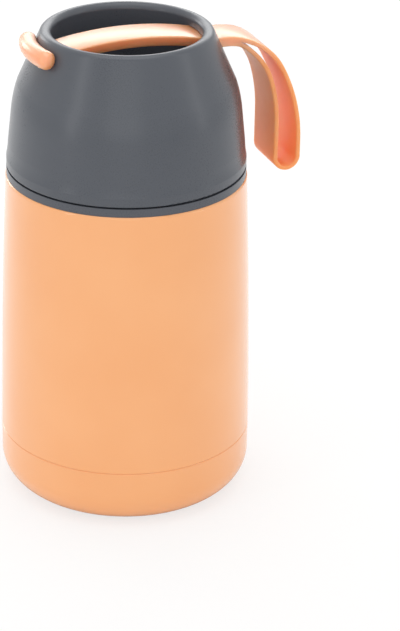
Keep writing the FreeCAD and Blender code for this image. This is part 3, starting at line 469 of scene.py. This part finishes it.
def drawLoop(mesh, ends, sizes):
    # to the tip where the two layers part
    firstCentre = point(sizes["root"], sizes["exitHeight"] - sizes["firstBend"])
    ends = runRound(mesh, ends, firstCentre, sizes["tipTurn"], sizes["tipSteps"])
    layerEdge, tipEdge = sorted(ends, key=lambda edge: -sum(vertex.co.z for vertex in edge.verts))
    low, tip = sorted(tipEdge.verts, key=lambda vertex: vertex.co.z)

    # outer layer, turn at the bottom, inner layer
    corner = math.radians(90 - sizes["firstTurn"])
    inward = point(math.cos(corner), math.sin(corner)) * (sizes["firstBend"] - sizes["secondBend"])
    secondCentre = firstCentre + inward
    half = sizes["hole"] / 2 + sizes["layer"]
    bottomCentre = point(secondCentre.x + sizes["secondBend"] - half, sizes["lowest"] + half)
    ends = runRound(mesh, [layerEdge], firstCentre, sizes["firstTurn"] - sizes["tipTurn"],
                    sizes["outerSteps"])
    ends = runRound(mesh, ends, secondCentre, 90 - sizes["firstTurn"], sizes["outerSteps"])
    ends = runStraight(mesh, ends, 0, bottomCentre.z - secondCentre.z)
    ends = runRound(mesh, ends, bottomCentre, 180, sizes["bottomSteps"])
    ends = runStraight(mesh, ends, 0, sizes["innerStraightTop"] - bottomCentre.z)
    longCentre = point(bottomCentre.x - half - sizes["innerBend"], sizes["innerStraightTop"])
    ends = runRound(mesh, ends, longCentre, -sizes["innerTurn"], sizes["innerSteps"])

    # last bend of the inner layer, closed on the tip
    holeCorner = max((vertex for edge in ends for vertex in edge.verts), key=lambda vertex: vertex.co.x)
    chord = tip.co - holeCorner.co
    aim = math.atan2(chord.z, chord.x)
    heading = math.radians(90 + sizes["innerTurn"])
    lastBend = chord.length / 2 / math.sin(aim - heading)
    side = heading + math.pi / 2
    lastCentre = holeCorner.co + point(math.cos(side), math.sin(side)) * lastBend
    ends = runRound(mesh, ends, lastCentre, -math.degrees(2 * (aim - heading)), sizes["lastSteps"])
    far, near = sorted({vertex for edge in ends for vertex in edge.verts}, key=lambda vertex: vertex.co.z)
    bmesh.ops.weld_verts(mesh, targetmap={near: tip, far: low})
    return (firstCentre, sizes["firstBend"] - sizes["layer"]), (lastCentre, lastBend)


def giveWidth(mesh, sizes):
    # a wall of any thickness, whose two sides then move to the strap's width, flared at the loop
    bmesh.ops.recalc_face_normals(mesh, faces=mesh.faces)
    bmesh.ops.solidify(mesh, geom=mesh.faces[:], thickness=1.0)
    middle = sum(vertex.co.y for vertex in mesh.verts) / len(mesh.verts)
    for vertex in mesh.verts:
        flare = (vertex.co.x - sizes["flareStart"]) / (sizes["flareEnd"] - sizes["flareStart"])
        flare = min(max(flare, 0), 1)
        flare = flare * flare * (3 - 2 * flare)  # eases in and out
        width = sizes["width"] + (sizes["loopWidth"] - sizes["width"]) * flare
        vertex.co.y = math.copysign(width / 2, vertex.co.y - middle)
    bmesh.ops.recalc_face_normals(mesh, faces=mesh.faces)


def roundRims(mesh, holeBends, sizes):
    # all edges along the strap, but not the hole's first few millimetres, which are too narrow to round
    firstCentre, firstBend = holeBends[0]
    tipTurn = math.radians(sizes["tipTurn"])
    tipSpot = firstCentre + point(math.sin(tipTurn), math.cos(tipTurn)) * firstBend

    def inTip(edge):
        middle = (edge.verts[0].co + edge.verts[1].co) / 2
        middle.y = 0
        offHole = min(abs((middle - centre).length - bend) for centre, bend in holeBends)
        return offHole < sizes["holeReach"] and (middle - tipSpot).length < sizes["tightLength"]

    def runsAlong(edge):
        run = edge.verts[0].co - edge.verts[1].co
        return abs(run.y) < math.hypot(run.x, run.z)

    rimAngle = math.radians(sizes["rimAngle"])
    rims = [edge for edge in mesh.edges
            if edge.calc_face_angle(0) > rimAngle and not inTip(edge) and runsAlong(edge)]
    bmesh.ops.bevel(mesh, geom=rims, offset=sizes["edgeRound"], segments=sizes["edgeSteps"], profile=0.5,
                    affect="EDGES", material=-1)


def makeStrap(sizes):
    mesh = bmesh.new()
    ends = drawBand(mesh, sizes)
    holeBends = drawLoop(mesh, ends, sizes)
    giveWidth(mesh, sizes)
    roundRims(mesh, holeBends, sizes)
    return finishPiece(mesh, "strap", "strap_rubber")


strap = makeStrap(strapSizes)
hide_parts("strap_band", "strap_loop")
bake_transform(strap)
endBar = makeEndBar(barSizes)
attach(endBar, "dome")
print("strap made:", len(strap.data.polygons), "faces, end bar", len(endBar.data.polygons))


# The spring under the vent button shortens as the button goes down; here it is drawn as a fixed coil that
# moves with the stopper and isn't made to shorten.
# Its wire is a touch thinner than in the CAD model, which keeps it inside that model's box.

springSizes = {
    "wire": 0.7, "slimmer": 0.98, "turns": 5, "stepsPerTurn": 24, "sides": 10,
    "foot": 129.8, "travel": 2.0,
}


def makeSpring(sizes):
    low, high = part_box("vent_spring")
    wireRadius = sizes["wire"] / 2
    steps = sizes["turns"] * sizes["stepsPerTurn"]
    climb = ((high[2] - low[2]) / mm - sizes["wire"]) / steps
    mesh = bmesh.new()
    ends = runRing(mesh, sizes["sides"], wireRadius * sizes["slimmer"],
                   point(high[0] / mm - wireRadius, low[2] / mm + wireRadius),
                   0, 360 * sizes["turns"], climb, steps)
    for end in ends:
        bmesh.ops.holes_fill(mesh, edges=end)
    bmesh.ops.recalc_face_normals(mesh, faces=mesh.faces)
    return finishPiece(mesh, "ventSpringCoil", "spring_steel")


spring = makeSpring(springSizes)
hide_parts("vent_spring")
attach(spring, "stopper")
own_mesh(spring)
print("spring made:", len(spring.data.polygons), "faces")


# Floor, backdrop and light. A lamp's line is its name, width, height, power in watts and place.

studio = {
    "floorSize": 16.0, "floorCells": 8, "floorColour": (250, 250, 250), "floorShade": (246, 246, 246),
    "paperGrain": 3.0, "floorGlow": 0.72, "whiteFrom": 0.25, "whiteTo": 1.0,
    "skyLight": 0.75, "background": 1.0,
    "lamps": (
        ("topLamp", 1.1, 1.1, 4.5, (-0.05, -0.10, 1.35)),
        ("leftLamp", 0.16, 1.2, 1.4, (-1.28, -0.38, 0.55)),
        ("rightLamp", 0.14, 1.2, 0.9, (1.10, -0.66, 0.50)),
        ("frontLamp", 0.90, 0.9, 1.5, (-0.55, -1.30, 0.50)),
        ("backLamp", 1.30, 0.36, 4.2, (0.36, 1.02, 0.66)),
        ("lowBackLamp", 0.35, 0.5, 2.0, (-0.50, 1.20, 0.42)),
    ),
    "aim": (0, 0, 0.10),
}


def makeFloor(setting):
    # matt paper that the camera sees lit up in part, and all white from whiteTo metres away
    mesh = bmesh.new()
    bmesh.ops.create_grid(mesh, x_segments=setting["floorCells"], y_segments=setting["floorCells"],
                          size=setting["floorSize"] / 2)
    data = bpy.data.meshes.new("studioFloor")
    mesh.to_mesh(data)
    mesh.free()
    finish = Finish("floorPaper")
    paper = finish.grain(setting["paperGrain"], detail=3)
    colour = finish.between(paper, setting["floorColour"], setting["floorShade"])
    matt = finish.node("ShaderNodeBsdfDiffuse", sockets={"Color": colour})
    glow = finish.node("ShaderNodeEmission", sockets={"Color": (1, 1, 1, 1), "Strength": 1.0})
    seen = finish.node("ShaderNodeLightPath", out="Is Camera Ray")
    away = finish.node("ShaderNodeVectorMath", {"operation": "LENGTH"}, {0: finish.place}, out="Value")
    white = finish.steps(away, setting["whiteFrom"], setting["whiteTo"]) * (1 - setting["floorGlow"])
    share = seen * (white + setting["floorGlow"])
    mixed = finish.node("ShaderNodeMixShader", sockets={0: share, 1: matt, 2: glow})
    finish.node("ShaderNodeOutputMaterial", sockets={"Surface": mixed})
    data.materials.append(finish.material)
    floor = bpy.data.objects.new("studioFloor", data)
    bpy.context.scene.collection.objects.link(floor)


def makeSky(setting):
    # one strength for what the camera and mirrors see of it, another for the light it gives
    world = bpy.data.worlds.new("studioSky")
    bpy.context.scene.world = world
    world.use_nodes = True
    nodes, links = world.node_tree.nodes, world.node_tree.links
    nodes.clear()
    path = nodes.new("ShaderNodeLightPath")
    seen = path.outputs["Is Camera Ray"]
    for ray in ("Is Glossy Ray", "Is Transmission Ray"):
        either = nodes.new("ShaderNodeMath")
        either.operation = "MAXIMUM"
        links.new(seen, either.inputs[0])
        links.new(path.outputs[ray], either.inputs[1])
        seen = either.outputs[0]
    strength = nodes.new("ShaderNodeMapRange")
    strength.inputs["To Min"].default_value = setting["skyLight"]
    strength.inputs["To Max"].default_value = setting["background"]
    links.new(seen, strength.inputs["Value"])
    sky = nodes.new("ShaderNodeBackground")
    sky.inputs["Color"].default_value = (1, 1, 1, 1)
    links.new(strength.outputs[0], sky.inputs["Strength"])
    output = nodes.new("ShaderNodeOutputWorld")
    links.new(sky.outputs[0], output.inputs["Surface"])


def makeLamp(name, wide, high, power, place, aim):
    lamp = bpy.data.lights.new(name, "AREA")
    lamp.shape = "RECTANGLE"
    lamp.size = wide
    lamp.size_y = high
    lamp.energy = power
    light = bpy.data.objects.new(name, lamp)
    light.location = place
    light.visible_camera = False
    light.rotation_euler = (Vector(aim) - Vector(place)).to_track_quat("-Z", "Y").to_euler()
    bpy.context.scene.collection.objects.link(light)


makeFloor(studio)
makeSky(studio)
for lamp in studio["lamps"]:
    makeLamp(*lamp, studio["aim"])
print("studio ready")


# Camera, placed as the photo's was

cameraView = {
    "lens": 142.6, "sensor": 36, "place": (-0.2849, -0.8046, 0.4763), "heading": 19.5, "down": 25.7,
    "roll": 0.33, "shift": 0.118, "nearest": 0.05, "farthest": 50,
}


def makeCamera(view):
    data = bpy.data.cameras.new("camera")
    data.lens = view["lens"]
    data.sensor_width = view["sensor"]
    data.shift_x = view["shift"]
    data.clip_start = view["nearest"]
    data.clip_end = view["farthest"]
    camera = bpy.data.objects.new("camera", data)
    camera.matrix_world = (Matrix.Translation(view["place"])
                           @ Matrix.Rotation(math.radians(-view["heading"]), 4, "Z")
                           @ Matrix.Rotation(math.radians(90 - view["down"]), 4, "X")
                           @ Matrix.Rotation(math.radians(view["roll"]), 4, "Z"))
    bpy.context.scene.collection.objects.link(camera)
    bpy.context.scene.camera = camera


makeCamera(cameraView)
bpy.context.scene.view_settings.view_transform = "Standard"
print("camera ready")
